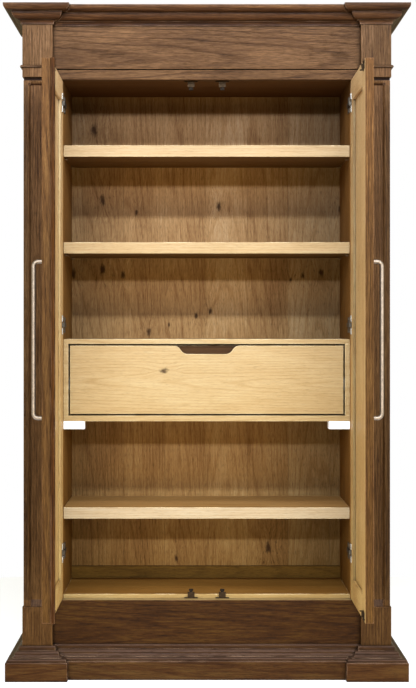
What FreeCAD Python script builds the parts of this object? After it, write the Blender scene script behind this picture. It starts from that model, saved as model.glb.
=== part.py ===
import FreeCAD, Part
import os
import Sketcher

# A two-door armoire with three fixed shelves and one inner drawer, standing with both doors open.
# Millimetres. X runs to the right, Y to the back, Z up. The doors face -Y.
# The origin is on the floor, under the middle of the piece as it stands with its doors open.

SIZES = {
    # carcase
    "total_height": 2132,
    "opening_half": 459,
    "inside_depth": 400,
    "lining_thick": 29.5,
    "side_thick": 18,
    "board_thick": 22,
    "back_thick": 12,
    "back_inset": 12,
    "back_seam": 0.6,
    "tongue_reach": 7,
    "tongue_thick": 4,
    "tongue_clear": 0.4,
    "cap_thick": 18,
    "floor_top": 258,
    "inner_set_back": 15,
    "cleat_height": 39,
    "cleat_thick": 20,
    "side_frame": 80,
    "side_field_depth": 6,
    "side_mid_rail": 1050,
    # front frame
    "face_project": 28,
    "post_project": 32,
    "post_behind": 30,
    "block_width": 95.5,
    "shaft_reveal": 3.5,
    "apron_top": 245,
    "header_drop": 229,
    "header_height": 30,
    "header_step": 4,
    "ledge_height": 20,
    "frieze_height": 196,
    "frieze_thick": 25,
    "base_block_top": 228,
    "frieze_block_height": 195,
    "bead_height": 7,
    "neck_height": 31,
    "field_stile": 22,
    "field_bevel": 6,
    "field_depth": 8,
    "field_margin": 1,
    "head_height": 13,
    "sill_height": 22,
    "groove_height": 11,
    "groove_depth": 9,
    # base: plinth with a moulding on it
    "plinth_height": 60,
    "plinth_project": 50,
    "plinth_bevel": 2,
    "moulding_top": 106,
    "toe_reach": 46,
    "toe_height": 10,
    "toe_round": 6,
    "quirk_height": 3,
    "ogee_reach": 31,
    "ogee_radius": 9,
    "top_reach": 10,
    "top_round": 5,
    # cornice
    "cornice_height": 60,
    "cornice_project": 56,
    "slab_height": 21,
    "slab_round": 16,
    "band_reach": 31,
    "band_round": 20,
    "step_height": 2,
    "cove_radius": 9,
    "fillet_height": 4,
    "fillet_reach": 4,
    # shelves
    "shelf_thick": 36,
    "top_bay_height": 206,
    "third_bay_height": 275,
    "bottom_bay_height": 241.5,
    "shelf_clear": 0.5,
    "shelf_pin_radius": 3.4,
    "shelf_pin_hole_radius": 3.5,
    "shelf_pin_reach": 10,
    "shelf_pin_inset": 50,
    # drawer case
    "case_top_height": 1075.5,
    "case_top_thick": 15.5,
    "case_side_thick": 15,
    "case_bottom_height": 812,
    "case_bottom_thick": 18,
    "block_reach": 67,
    "block_depth": 60,
    "block_height": 25,
    # drawer
    "drawer_gap": 5.5,
    "drawer_front_thick": 19,
    "drawer_length": 350,
    "drawer_wall": 12,
    "drawer_head_room": 44,
    "drawer_wall_bottom": 846,
    "drawer_bottom_thick": 6,
    "drawer_bottom_height": 856,
    "notch_half_top": 106,
    "notch_half_bottom": 61,
    "notch_depth": 27,
    # runners
    "runner_width": 12.5,
    "runner_height": 41,
    "runner_wall": 1.5,
    "runner_clear": 0.4,
    "runner_length": 345,
    "runner_end_gap": 1,
    # doors
    "door_thick": 25,
    "door_gap": 3,
    "door_reveal": 1,
    "post_gap": 3.5,
    "meeting_gap": 3,
    "door_end_gap": 3,
    "stile_width": 90,
    "rail_width": 70,
    "panel_thick": 9,
    "panel_tongue": 8,
    "hinge_edge_radius": 4,
    "astragal_thick": 13,
    "astragal_width": 30,
    "astragal_reach": 10,
    "astragal_quirk": 3,
    # bar handles
    "handle_bottom": 845.5,
    "handle_top": 1306.5,
    "handle_radius": 6.3,
    "handle_reach": 28,
    "handle_bend": 14,
    "handle_inset": 45,
    # concealed hinges
    "top_hinge_drop": 72,
    "middle_hinge_rise": 45.5,
    "bottom_hinge_rise": 147,
    "pin_depth": 13.5,
    "pin_radius": 1.5,
    "pin_half_length": 13.4,
    "cup_radius": 17.5,
    "cup_wall": 0.7,
    "cup_edge": 21,
    "flange_thick": 2.5,
    "flange_half_height": 30,
    "flange_half_width": 13,
    "lug_gap": 1.2,
    "lug_past_pin": 1,
    "pin_fit": 0.02,
    "eye_fit": 0.05,
    "arm_half_height": 7,
    "arm_thick": 5,
    "arm_offset": 15,
    "eye_radius": 3,
    "arm_length": 65,
    "plate_start": 22,
    "plate_past_arm": 1,
    "plate_thick": 2.5,
    "plate_half_height": 25,
    # catches and strikes
    "catch_centre": 50,
    "catch_plate_half": 22,
    "catch_plate_thick": 3,
    "catch_half": 11,
    "catch_depth": 10,
    "catch_height": 20,
    "stem_half": 5,
    "stem_depth": 6,
    "stem_height": 10,
    "stem_clear": 0.3,
    "roller_radius": 3.5,
    "roller_half": 7,
    "roller_travel": 3,
    "strike_plate_half": 27,
    "strike_plate_height": 27,
    "strike_plate_thick": 1.2,
    "strike_half": 6,
    "strike_reach": 7,
    "strike_height": 20,
    "lip_reach": 12,
    "lip_thick": 2.5,
}

BACK_BOARDS = 8
# How far a cutter runs past the surface it opens
PAST = 1

doc = FreeCAD.newDocument("armoire")
sheet = doc.addObject("Spreadsheet::Sheet", "Sizes")


class Size:
    """A length that knows its number and how the sheet works it out."""

    def __init__(self, number, text):
        self.number = float(number)
        self.text = text

    def __add__(self, other):
        other = size(other)
        return Size(self.number + other.number, f"({self.text} + {other.text})")

    def __sub__(self, other):
        other = size(other)
        return Size(self.number - other.number, f"({self.text} - {other.text})")

    def __mul__(self, other):
        other = size(other)
        return Size(self.number * other.number, f"({self.text} * {other.text})")

    def __truediv__(self, other):
        other = size(other)
        return Size(self.number / other.number, f"({self.text} / {other.text})")

    def __neg__(self):
        return Size(-self.number, f"(0 - {self.text})")


def size(value):
    if isinstance(value, Size):
        return value
    return Size(value, str(value))


def read_sheet():
    """Fills the sheet and returns each of its sizes under its own name."""
    named = {}
    for row, (name, number) in enumerate(SIZES.items(), start=1):
        sheet.set(f"A{row}", name.replace("_", " "))
        sheet.set(f"B{row}", str(number))
        sheet.setAlias(f"B{row}", name)
        named[name] = Size(number, f"Sizes.{name}")
    doc.recompute()
    return named


s = read_sheet()

# Planes across the piece, measured from its middle
post_in = s["opening_half"] + s["lining_thick"]
block_out = post_in + s["block_width"]
shaft_out = block_out - s["shaft_reveal"]
side_in = block_out - s["side_thick"]
door_edge = post_in - s["post_gap"]
door_inside = s["opening_half"] + s["door_reveal"]
door_outside = door_inside + s["door_thick"]
pin_x = door_inside + s["pin_depth"]
edge_to_pin = door_edge - pin_x
door_width = door_edge - s["meeting_gap"] / 2

# Planes from front to back
open_gap = s["door_gap"] + s["pin_depth"] - edge_to_pin
rear_depth = s["inside_depth"] + s["back_thick"] + s["back_inset"]
wall_front = (open_gap + door_width + s["astragal_reach"] - rear_depth) / 2
inner_front = wall_front + s["inner_set_back"]
face_front = wall_front - s["face_project"]
post_front = face_front - s["post_project"]
shaft_front = post_front + s["shaft_reveal"]
post_back = wall_front + s["post_behind"]
back_front = wall_front + s["inside_depth"]
back_rear = back_front + s["back_thick"]
rear = back_rear + s["back_inset"]
pin_y = wall_front - s["door_gap"] - s["pin_depth"]
hinge_edge = pin_y + edge_to_pin
free_edge = hinge_edge - door_width

# Heights
header_bottom = s["total_height"] - s["header_drop"]
frieze_bottom = s["total_height"] - s["frieze_height"]
cornice_bottom = s["total_height"] - s["cornice_height"]
cap_bottom = s["total_height"] - s["cap_thick"]
bead_bottom = s["total_height"] - s["frieze_block_height"]
bead_top = bead_bottom + s["bead_height"]
neck_bottom = bead_bottom - s["neck_height"]
field_top = neck_bottom - s["groove_height"] - s["field_margin"] - s["head_height"]
door_bottom = s["apron_top"] + s["door_end_gap"]
door_top = header_bottom - s["door_end_gap"]
drawer_wall_top = s["case_top_height"] - s["case_top_thick"] - s["drawer_head_room"]
runner_centre = (drawer_wall_top + s["drawer_wall_bottom"]) / 2
hinge_heights = [
    door_top - s["top_hinge_drop"],
    s["case_top_height"] + s["middle_hinge_rise"],
    door_bottom + s["bottom_hinge_rise"],
]
shelf_tops = {
    "upper_shelf": header_bottom - s["top_bay_height"],
    "middle_shelf": s["case_top_height"] + s["third_bay_height"] + s["shelf_thick"],
    "lower_shelf": s["floor_top"] + s["bottom_bay_height"] + s["shelf_thick"],
}

nodes = []


def node(thing, name):
    """Marks a finished piece, which is kept under this name."""
    thing.Label = name
    nodes.append(thing)
    return thing


def bind(thing, where, value):
    thing.setExpression(where, size(value).text)


def place(thing, x, y, z):
    bind(thing, "Placement.Base.x", x)
    bind(thing, "Placement.Base.y", y)
    bind(thing, "Placement.Base.z", z)


def block(name, x, y, z):
    """A plain board between a low and a high plane along each axis."""
    thing = doc.addObject("Part::Box", name)
    bind(thing, "Length", size(x[1]) - x[0])
    bind(thing, "Width", size(y[1]) - y[0])
    bind(thing, "Height", size(z[1]) - z[0])
    place(thing, x[0], y[0], z[0])
    return thing


def rod(name, centre, radius, length, axis="z"):
    """A round bar that starts at its centre point and runs along an axis."""
    turns = {
        "x": FreeCAD.Rotation(FreeCAD.Vector(0, 1, 0), 90),
        "y": FreeCAD.Rotation(FreeCAD.Vector(1, 0, 0), -90),
        "z": FreeCAD.Rotation(),
    }
    thing = doc.addObject("Part::Cylinder", name)
    thing.Placement = FreeCAD.Placement(FreeCAD.Vector(), turns[axis])
    bind(thing, "Radius", radius)
    bind(thing, "Height", length)
    place(thing, *centre)
    return thing


def joined(name, pieces):
    thing = doc.addObject("Part::MultiFuse", name)
    thing.Shapes = pieces
    thing.Refine = True
    return thing


def cut(name, base, tools):
    thing = doc.addObject("Part::Cut", name)
    thing.Base = base
    thing.Tool = tools[0] if len(tools) == 1 else group(f"{name}_tools", tools)
    thing.Refine = True
    return thing


def group(name, pieces):
    """Separate pieces kept together under one name."""
    thing = doc.addObject("Part::Compound", name)
    thing.Links = pieces
    return thing


def mirrored(name, source):
    """The same piece on the other side of the middle."""
    thing = doc.addObject("Part::Mirroring", name)
    thing.Source = source
    thing.Base = FreeCAD.Vector(0, 0, 0)
    thing.Normal = FreeCAD.Vector(1, 0, 0)
    return thing


def both_sides(name, right):
    """The right-hand piece and its mirror image as two nodes."""
    node(right, f"right_{name}")
    node(mirrored(f"left_{name}", right), f"left_{name}")


def pair(name, right):
    """The right-hand piece and its mirror image as one node of two solids."""
    return node(group(name, [right, mirrored(f"{name}_left", right)]), name)


def new_sketch(body, name, role, offset=0):
    """A sketch on one of the body's own origin planes, moved along that plane's normal."""
    sketch = body.newObject("Sketcher::SketchObject", name)
    plane = [f for f in body.Origin.OriginFeatures if f.Role == role][0]
    sketch.AttachmentSupport = [(plane, "")]
    sketch.MapMode = "FlatFace"
    bind(sketch, "AttachmentOffset.Base.z", offset)
    return sketch


def fix_point(sketch, edge, end, x, y):
    for kind, value in (("DistanceX", x), ("DistanceY", y)):
        if value is None:
            continue
        value = size(value)
        row = sketch.addConstraint(Sketcher.Constraint(kind, -1, 1, edge, end, value.number))
        sketch.setExpression(f"Constraints[{row}]", value.text)


def draw(sketch, points, closed=True):
    """Lines and arcs through points. A point is (x, y), or (x, y, centre, turn) where an arc starts:
    turn is 1 for an arc that runs anticlockwise and -1 for one that runs clockwise.
    The point after an arc gives one coordinate and leaves the other, None, to the arc.
    A fifth item then is the number near which that coordinate lies."""
    count = len(points)
    last = count if closed else count - 1
    spots = []
    for point in points:
        guess = point[4] if len(point) > 4 else None
        spots.append([guess if c is None else size(c).number for c in point[:2]])
    for i in range(last):
        a = FreeCAD.Vector(*spots[i], 0)
        b = FreeCAD.Vector(*spots[(i + 1) % count], 0)
        centre = points[i][2] if len(points[i]) > 2 else None
        if centre is None:
            sketch.addGeometry(Part.LineSegment(a, b))
            continue
        middle = FreeCAD.Vector(size(centre[0]).number, size(centre[1]).number, 0)
        circle = Part.Circle(middle, FreeCAD.Vector(0, 0, 1), (a - middle).Length)
        ends = [circle.parameter(a), circle.parameter(b)]
        if points[i][3] < 0:
            ends.reverse()
        sketch.addGeometry(Part.ArcOfCircle(circle, *ends))

    def start_of(i):
        return 2 if len(points[i]) > 3 and points[i][2] is not None and points[i][3] < 0 else 1

    for i in range(last if closed else last - 1):
        after = (i + 1) % count
        sketch.addConstraint(
            Sketcher.Constraint("Coincident", i, 3 - start_of(i), after, start_of(after))
        )
    for i, point in enumerate(points):
        edge, end = (i, start_of(i)) if i < last else (last - 1, 3 - start_of(last - 1))
        fix_point(sketch, edge, end, point[0], point[1])
        if len(point) > 2 and point[2] is not None:
            fix_point(sketch, edge, 3, *point[2])


def padded(name, role, offset, points, length):
    """A body made by pushing one outline out of a plane."""
    body = doc.addObject("PartDesign::Body", name)
    sketch = new_sketch(body, f"{name}_outline", role, offset)
    draw(sketch, points)
    pad = body.newObject("PartDesign::Pad", f"{name}_pad")
    pad.Profile = sketch
    bind(pad, "Length", length)
    return body


def sweep(name, role, offset, ring, route):
    """A body made by running a closed outline along a route that lies flat."""
    body = doc.addObject("PartDesign::Body", name)
    path = new_sketch(body, f"{name}_route", route[0])
    draw(path, route[1], closed=False)
    profile = new_sketch(body, f"{name}_profile", role, offset)
    draw(profile, ring)
    doc.recompute()
    pipe = body.newObject("PartDesign::AdditivePipe", f"{name}_sweep")
    pipe.Profile = profile
    pipe.Spine = (path, [f"Edge{i + 1}" for i in range(len(route[1]) - 1)])
    pipe.Transition = "Right corner"
    return body


def plinth_profile(wall, out):
    """Plinth board: plain, with a small bevel on its top edge."""
    reach = s["plinth_project"]
    bevel = s["plinth_bevel"]
    top = s["plinth_height"]
    return [
        (wall, 0),
        (wall + reach * out, 0),
        (wall + reach * out, top - bevel),
        (wall + (reach - bevel) * out, top),
        (wall, top),
    ]


def base_profile(wall, out):
    """Base moulding: a rounded toe, a quirk, an ogee, another quirk and a small rounded top."""
    foot = s["plinth_height"]
    toe_top = foot + s["toe_height"]
    ogee_bottom = toe_top + s["quirk_height"]
    ogee_middle = ogee_bottom + s["ogee_radius"]
    ogee_top = ogee_middle + s["ogee_radius"]
    top = s["moulding_top"]
    toe = wall + s["toe_reach"] * out
    toe_round = s["toe_round"]
    ogee_foot = wall + s["ogee_reach"] * out
    turn = ogee_foot - s["ogee_radius"] * out
    ogee_head = turn - s["ogee_radius"] * out
    cap = wall + s["top_reach"] * out
    cap_round = s["top_round"]
    return [
        (wall, foot),
        (toe, foot),
        (toe, toe_top - toe_round, (toe - toe_round * out, toe_top - toe_round), out),
        (toe - toe_round * out, None, None, 0, toe_top.number),
        (ogee_foot, toe_top),
        (ogee_foot, ogee_bottom, (ogee_foot, ogee_middle), -out),
        (None, ogee_middle, (ogee_head, ogee_middle), out, turn.number),
        (ogee_head, None, None, 0, ogee_top.number),
        (cap, ogee_top),
        (cap, top - cap_round, (cap - cap_round * out, top - cap_round), out),
        (cap - cap_round * out, None, None, 0, top.number),
        (wall, top),
    ]


def cornice_profile(wall, out):
    """Cornice, from the bottom up: a fillet and cove, a band rounded under, and a slab rounded under."""
    bottom = cornice_bottom
    cove = s["cove_radius"]
    fillet_top = bottom + s["fillet_height"]
    cove_top = fillet_top + cove
    band_round = s["band_round"]
    band_bottom = cove_top + s["step_height"]
    band_turn = band_bottom + band_round
    slab_bottom = s["total_height"] - s["slab_height"]
    slab_round = s["slab_round"]
    slab_turn = slab_bottom + slab_round
    fillet = wall + s["fillet_reach"] * out
    cove_out = fillet + cove * out
    band = wall + s["band_reach"] * out
    slab = wall + s["cornice_project"] * out
    return [
        (wall, bottom),
        (fillet, bottom),
        (fillet, fillet_top, (cove_out, fillet_top), -out),
        (cove_out, None, None, 0, cove_top.number),
        (band - band_round * out, cove_top),
        (band - band_round * out, band_bottom, (band - band_round * out, band_turn), out),
        (None, band_turn, None, 0, band.number),
        (band, slab_bottom),
        (slab - slab_round * out, slab_bottom, (slab - slab_round * out, slab_turn), out),
        (None, slab_turn, None, 0, slab.number),
        (slab, s["total_height"]),
        (wall, s["total_height"]),
    ]


def bead_profile(wall, out):
    """Small lip on a wall: round on top and flat below."""
    return [
        (wall, bead_bottom),
        (wall + s["bead_height"] * out, bead_bottom, (wall, bead_bottom), out),
        (wall, None, None, 0, bead_top.number),
    ]


def wrapped(name, profile, start):
    """Moulding round a post: along the outer side, across the front and back to the frieze."""
    route = [(block_out, start), (block_out, post_front), (post_in, post_front), (post_in, face_front)]
    return sweep(name, "XZ_Plane", -start, profile(block_out, 1), ("XY_Plane", route))


def mouldings(name, profile):
    """The two wraps, and the straight length that is scribed to fit between them."""
    right = wrapped(f"right_{name}", profile, rear)
    left = mirrored(f"left_{name}", right)
    straight = padded(f"{name}_run", "YZ_Plane", -post_in, profile(face_front, -1), post_in * 2)
    node(right, f"right_{name}")
    node(left, f"left_{name}")
    node(cut(f"front_{name}", straight, [right, left]), f"front_{name}")


def make_sides():
    """Inner linings with blind holes for the shelf pins, and framed outer sides."""
    lining = block(
        "lining_board", (s["opening_half"], post_in), (wall_front, back_front), (0, header_bottom)
    )
    holes = []
    pins = []
    for shelf, top in shelf_tops.items():
        height = top - s["shelf_thick"] - s["shelf_pin_radius"]
        front = inner_front + s["shelf_pin_inset"]
        back = back_front - s["shelf_pin_inset"]
        for place_name, y in (("front", front), ("back", back)):
            start = (s["opening_half"], y, height)
            hole_radius = s["shelf_pin_hole_radius"]
            reach = s["shelf_pin_reach"]
            holes.append(rod(f"{shelf}_{place_name}_hole", start, hole_radius, reach, "x"))
            start = (s["opening_half"] - reach, y, height)
            pin = rod(f"{shelf}_{place_name}_pin", start, s["shelf_pin_radius"], reach * 2, "x")
            pins.append(pin)
            pins.append(mirrored(f"{shelf}_{place_name}_pin_left", pin))
    both_sides("side_lining", cut("side_lining", lining, holes))
    node(group("shelf_pins", pins), "shelf_pins")

    board = block("outer_board", (side_in, block_out), (post_back, rear), (0, cap_bottom))
    field_x = (block_out - s["side_field_depth"], block_out + PAST)
    field_y = (post_back + s["side_frame"], rear - s["side_frame"])
    half_rail = s["side_frame"] / 2
    field_bottom = s["moulding_top"] + s["side_frame"]
    lower = block("lower_side_field", field_x, field_y, (field_bottom, s["side_mid_rail"] - half_rail))
    upper_z = (s["side_mid_rail"] + half_rail, cornice_bottom - s["side_frame"])
    upper = block("upper_side_field", field_x, field_y, upper_z)
    both_sides("outer_side", cut("outer_side", board, [lower, upper]))


def make_boards():
    """Ceiling, floor and cap, and the cleat at the foot of the back."""
    ceiling_z = (header_bottom, header_bottom + s["board_thick"])
    node(block("ceiling", (-post_in, post_in), (inner_front, back_front), ceiling_z), "ceiling_board")
    floor_z = (s["floor_top"] - s["board_thick"], s["floor_top"])
    floor_x = (-s["opening_half"], s["opening_half"])
    node(block("floor", floor_x, (inner_front, back_front), floor_z), "floor_board")

    cap_z = (cap_bottom, s["total_height"])
    frieze_back = face_front + s["frieze_thick"]
    middle = block("cap_middle", (-post_in, post_in), (frieze_back, rear), cap_z)
    wide = block("cap_wide", (-block_out, block_out), (post_back, rear), cap_z)
    node(joined("cap_board", [middle, wide]), "cap_board")

    cleat_y = (back_front - s["cleat_thick"], back_front)
    cleat_z = (s["floor_top"], s["floor_top"] + s["cleat_height"])
    node(block("cleat", floor_x, cleat_y, cleat_z), "back_cleat")


def make_back():
    """Upright back boards, each with a tongue in the next one's groove."""
    boards = []
    pitch = side_in * 2 / BACK_BOARDS
    half_seam = s["back_seam"] / 2
    clear = s["tongue_clear"]
    middle = back_front + s["back_thick"] / 2
    tall = (0, cap_bottom)
    tongue_y = (middle - s["tongue_thick"] / 2, middle + s["tongue_thick"] / 2)
    groove_y = (tongue_y[0] - clear, tongue_y[1] + clear)
    for i in range(BACK_BOARDS):
        name = f"back_board_{i + 1}"
        left = pitch * i - side_in
        edges = (left + half_seam, left + pitch - half_seam)
        board = block(name, edges, (back_front, back_rear), tall)
        if i > 0:
            groove_x = (edges[0] - PAST, edges[0] + s["tongue_reach"] + clear)
            groove = block(f"{name}_groove", groove_x, groove_y, (-PAST, cap_bottom + PAST))
            board = cut(f"{name}_grooved", board, [groove])
        if i < BACK_BOARDS - 1:
            tongue_x = (edges[1], edges[1] + s["back_seam"] + s["tongue_reach"])
            board = joined(f"{name}_whole", [board, block(f"{name}_tongue", tongue_x, tongue_y, tall)])
        boards.append(board)
    node(group("back_boards", boards), "back_boards")


def make_posts():
    """Front posts: base block, shaft with a sunk field and a neck, bead and frieze block."""
    plan = (post_in, block_out)
    deep_plan = (post_front, post_back)
    base = block("base_block", plan, deep_plan, (0, s["base_block_top"]))
    pair("base_blocks", base)
    top = block("frieze_block", plan, deep_plan, (bead_bottom, s["total_height"]))
    pair("frieze_blocks", top)

    body = doc.addObject("PartDesign::Body", "shaft")
    foot = s["base_block_top"]
    outline = new_sketch(body, "shaft_outline", "XY_Plane", foot)
    corners = [
        (post_in, shaft_front),
        (shaft_out, shaft_front),
        (shaft_out, post_back),
        (post_in, post_back),
    ]
    draw(outline, corners)
    shaft = body.newObject("PartDesign::Pad", "shaft_pad")
    shaft.Profile = outline
    bind(shaft, "Length", neck_bottom - foot)
    doc.recompute()
    solid = body.Shape.Volume

    field_in = post_in + s["field_stile"]
    field_out = shaft_out - s["field_stile"]
    deep = shaft_front + s["field_depth"]
    proud = shaft_front - s["field_depth"]
    field = new_sketch(body, "field_outline", "YZ_Plane", field_out)
    sill_top = foot + s["sill_height"]
    sunk_edge = [
        (proud, foot),
        (shaft_front, foot),
        (deep, sill_top),
        (deep, field_top),
        (shaft_front, field_top + s["head_height"]),
        (proud, field_top + s["head_height"]),
    ]
    draw(field, sunk_edge)
    sunk = body.newObject("PartDesign::Pocket", "field_pocket")
    sunk.Profile = field
    bind(sunk, "Length", field_out - field_in)
    doc.recompute()
    if body.Shape.Volume >= solid:
        raise RuntimeError("the sunk field cuts nothing")

    groove_y = (shaft_front - PAST, shaft_front + s["groove_depth"])
    groove_z = (neck_bottom - s["groove_height"], neck_bottom)
    groove = block("neck_groove", (post_in - PAST, shaft_out + PAST), groove_y, groove_z)
    bevel = s["field_bevel"]
    bevels = []
    for side, edge, away in (("inner", field_in, -1), ("outer", field_out, 1)):
        wedge = [
            (edge, shaft_front - PAST),
            (edge + (bevel + PAST) * away, shaft_front - PAST),
            (edge, shaft_front + bevel),
        ]
        bevels.append(padded(f"{side}_bevel", "XY_Plane", sill_top, wedge, field_top - sill_top))
    shaft = cut("grooved_shaft", body, [groove] + bevels)
    neck = block("neck_band", plan, deep_plan, (neck_bottom, bead_bottom))
    both_sides("post", joined("post_with_neck", [shaft, neck]))

    pair("neck_beads", wrapped("neck_bead", bead_profile, post_back))


def make_front_frame():
    """Frieze, header and apron between the posts. The last two carry a ledge for the catches."""
    across = (-post_in, post_in)
    inside = (-s["opening_half"], s["opening_half"])
    frieze_y = (face_front, face_front + s["frieze_thick"])
    frieze = block("frieze", across, frieze_y, (frieze_bottom, s["total_height"]))
    node(frieze, "frieze_board")

    header_top = header_bottom + s["header_height"]
    header_z = (header_bottom, header_top)
    rail = block("header_face", across, (face_front + s["header_step"], wall_front), header_z)
    ledge = block("header_ledge", inside, (wall_front, inner_front), header_z)
    node(joined("header_rail", [rail, ledge]), "header_rail")

    rail = block("apron_face", across, (face_front, wall_front), (0, s["apron_top"]))
    ledge_z = (s["apron_top"] - s["ledge_height"], s["apron_top"])
    ledge = block("apron_ledge", inside, (wall_front, inner_front), ledge_z)
    node(joined("apron_rail", [rail, ledge]), "apron_rail")


def make_shelves():
    clear = s["shelf_clear"]
    x = (clear - s["opening_half"], s["opening_half"] - clear)
    for name, top in shelf_tops.items():
        y = (inner_front, back_front - clear)
        node(block(name, x, y, (top - s["shelf_thick"], top)), name)


def make_case():
    """The box that the drawer runs in, on two pale blocks."""
    half = s["opening_half"]
    deep = (inner_front, back_front - s["shelf_clear"])
    top_z = (s["case_top_height"] - s["case_top_thick"], s["case_top_height"])
    node(block("case_top", (-half, half), deep, top_z), "case_top")
    bottom_z = (s["case_bottom_height"], s["case_bottom_height"] + s["case_bottom_thick"])
    node(block("case_bottom", (-half, half), deep, bottom_z), "case_bottom")
    side = block("case_side", (half - s["case_side_thick"], half), deep, (bottom_z[1], top_z[0]))
    pair("case_sides", side)
    rest_z = (bottom_z[0] - s["block_height"], bottom_z[0])
    rest_y = (inner_front, inner_front + s["block_depth"])
    pair("case_blocks", block("case_block", (half - s["block_reach"], half), rest_y, rest_z))


def make_drawer():
    """Front with a finger cut-out, a box of four walls behind it, and a thin bottom."""
    half = s["opening_half"] - s["case_side_thick"] - s["drawer_gap"]
    low = s["case_bottom_height"] + s["case_bottom_thick"] + s["drawer_gap"]
    high = s["case_top_height"] - s["case_top_thick"] - s["drawer_gap"]
    wide = s["notch_half_top"]
    narrow = s["notch_half_bottom"]
    floor = high - s["notch_depth"]
    step_x = (wide - narrow) / 2
    step_z = s["notch_depth"] / 2
    curve = (step_x * step_x + step_z * step_z) / (step_z * 2)
    turn_x = narrow + step_x
    outline = [
        (-half, low),
        (half, low),
        (half, high),
        (wide, high, (wide, high - curve), 1),
        (None, high - step_z, (narrow, floor + curve), -1, turn_x.number),
        (narrow, None, None, 0, floor.number),
        (-narrow, floor, (-narrow, floor + curve), -1),
        (None, floor + step_z, (-wide, high - curve), 1, -turn_x.number),
        (-wide, None, None, 0, high.number),
        (-half, high),
    ]
    front_back = inner_front + s["drawer_front_thick"]
    front = padded("drawer_face", "XZ_Plane", -front_back, outline, s["drawer_front_thick"])
    node(front, "drawer_front")

    side_out = s["opening_half"] - s["case_side_thick"] - s["runner_width"] - s["runner_clear"]
    side_x = (side_out - s["drawer_wall"], side_out)
    side_y = (front_back, front_back + s["drawer_length"])
    wall_z = (s["drawer_wall_bottom"], drawer_wall_top)
    side = block("drawer_side", side_x, side_y, wall_z)
    back_y = (side_y[1] - s["drawer_wall"], side_y[1])
    back = block("drawer_back", (-side_x[0], side_x[0]), back_y, wall_z)
    lining_y = (front_back, front_back + s["drawer_wall"])
    lining_z = (s["drawer_wall_bottom"], high)
    lining = block("drawer_front_wall", (-side_x[0], side_x[0]), lining_y, lining_z)
    walls = [side, mirrored("drawer_side_left", side), back, lining]
    node(group("drawer_walls", walls), "drawer_walls")
    bottom_z = (s["drawer_bottom_height"], s["drawer_bottom_height"] + s["drawer_bottom_thick"])
    bottom = block("drawer_base", (-side_x[0], side_x[0]), (lining_y[1], back_y[0]), bottom_z)
    node(bottom, "drawer_bottom")
    return side_out, front_back


def channel(name, web, tips, half_height, y):
    """A C-shaped runner member: its web stands at one plane and its flanges reach to another."""
    wall = s["runner_wall"]
    middle = runner_centre
    turned = web.number > tips.number
    outer = (tips, web) if turned else (web, tips)
    inner = (tips - PAST, web - wall) if turned else (web + wall, tips + PAST)
    whole = block(f"{name}_whole", outer, y, (middle - half_height, middle + half_height))
    room_z = (middle - half_height + wall, middle + half_height - wall)
    room = block(f"{name}_room", inner, (y[0] - PAST, y[1] + PAST), room_z)
    return cut(name, whole, [room])


def make_runners(side_out, front_back):
    """Telescopic runners in three nested members, each clear of the next."""
    wall = s["runner_wall"]
    clear = s["runner_clear"]
    front_end = front_back + s["runner_end_gap"]
    y = (front_end, front_end + s["runner_length"])
    case_face = s["opening_half"] - s["case_side_thick"]
    half = s["runner_height"] / 2
    middle_half = half - wall - clear
    slide_half = middle_half - wall - clear
    middle_web = case_face - wall - clear
    slide_tip = middle_web - wall - clear
    pair("runner_rails", channel("runner_rail", case_face, side_out + clear, half, y))
    middle = channel("runner_middle", middle_web, side_out + clear, middle_half, y)
    pair("runner_middles", middle)
    pair("runner_slides", channel("runner_slide", side_out, slide_tip, slide_half, y))


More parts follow.
